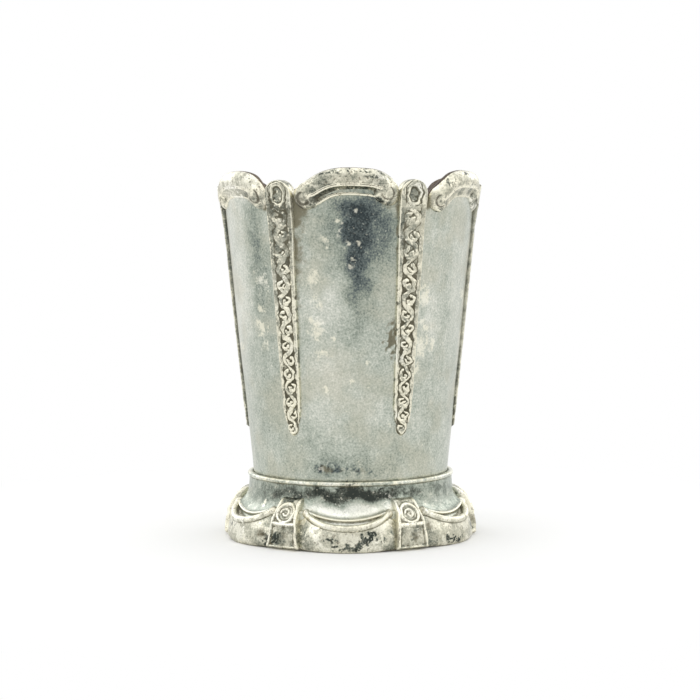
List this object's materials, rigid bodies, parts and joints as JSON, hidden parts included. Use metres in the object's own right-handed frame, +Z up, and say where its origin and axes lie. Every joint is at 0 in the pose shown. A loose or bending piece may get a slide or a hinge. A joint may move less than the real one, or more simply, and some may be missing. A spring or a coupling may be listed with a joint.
{
  "type": "toothpick holder",
  "caption": "Small footed metal cup that holds toothpicks upright, with a lobed rolled rim, tapering scroll straps down its sides and a flared, lobed foot.",
  "frame": {"origin": "middle of the flat plane that the foot stands on, on the cup's axis", "axes": "+Z up along the cup's axis, -Y towards the lobe that faces the viewer, +X to the viewer's right"},
  "size_m": [0.0418, 0.0422, 0.057],
  "materials": {
    "spun_plate": "tarnished silver plate, smooth",
    "rim_plate": "tarnished silver plate, pitted",
    "strap_plate": "tarnished silver plate, grimy in the hollows",
    "foot_plate": "tarnished silver plate, pitted"
  },
  "bodies": {
    "root": {"cup": "spun_plate", "foot": "foot_plate", "rim_roll_1": "rim_plate", "rim_roll_2": "rim_plate", "rim_roll_3": "rim_plate", "rim_roll_4": "rim_plate", "rim_roll_5": "rim_plate", "rim_roll_6": "rim_plate", "strap_1": "strap_plate", "strap_2": "strap_plate", "strap_3": "strap_plate", "strap_4": "strap_plate", "strap_5": "strap_plate", "strap_6": "strap_plate", "foot_petal_1": "foot_plate", "foot_petal_2": "foot_plate", "foot_petal_3": "foot_plate", "foot_petal_4": "foot_plate", "foot_petal_5": "foot_plate", "foot_petal_6": "foot_plate", "foot_bracket_1": "foot_plate", "foot_bracket_2": "foot_plate", "foot_bracket_3": "foot_plate", "foot_bracket_4": "foot_plate", "foot_bracket_5": "foot_plate", "foot_bracket_6": "foot_plate"}
  },
  "joints": []
}
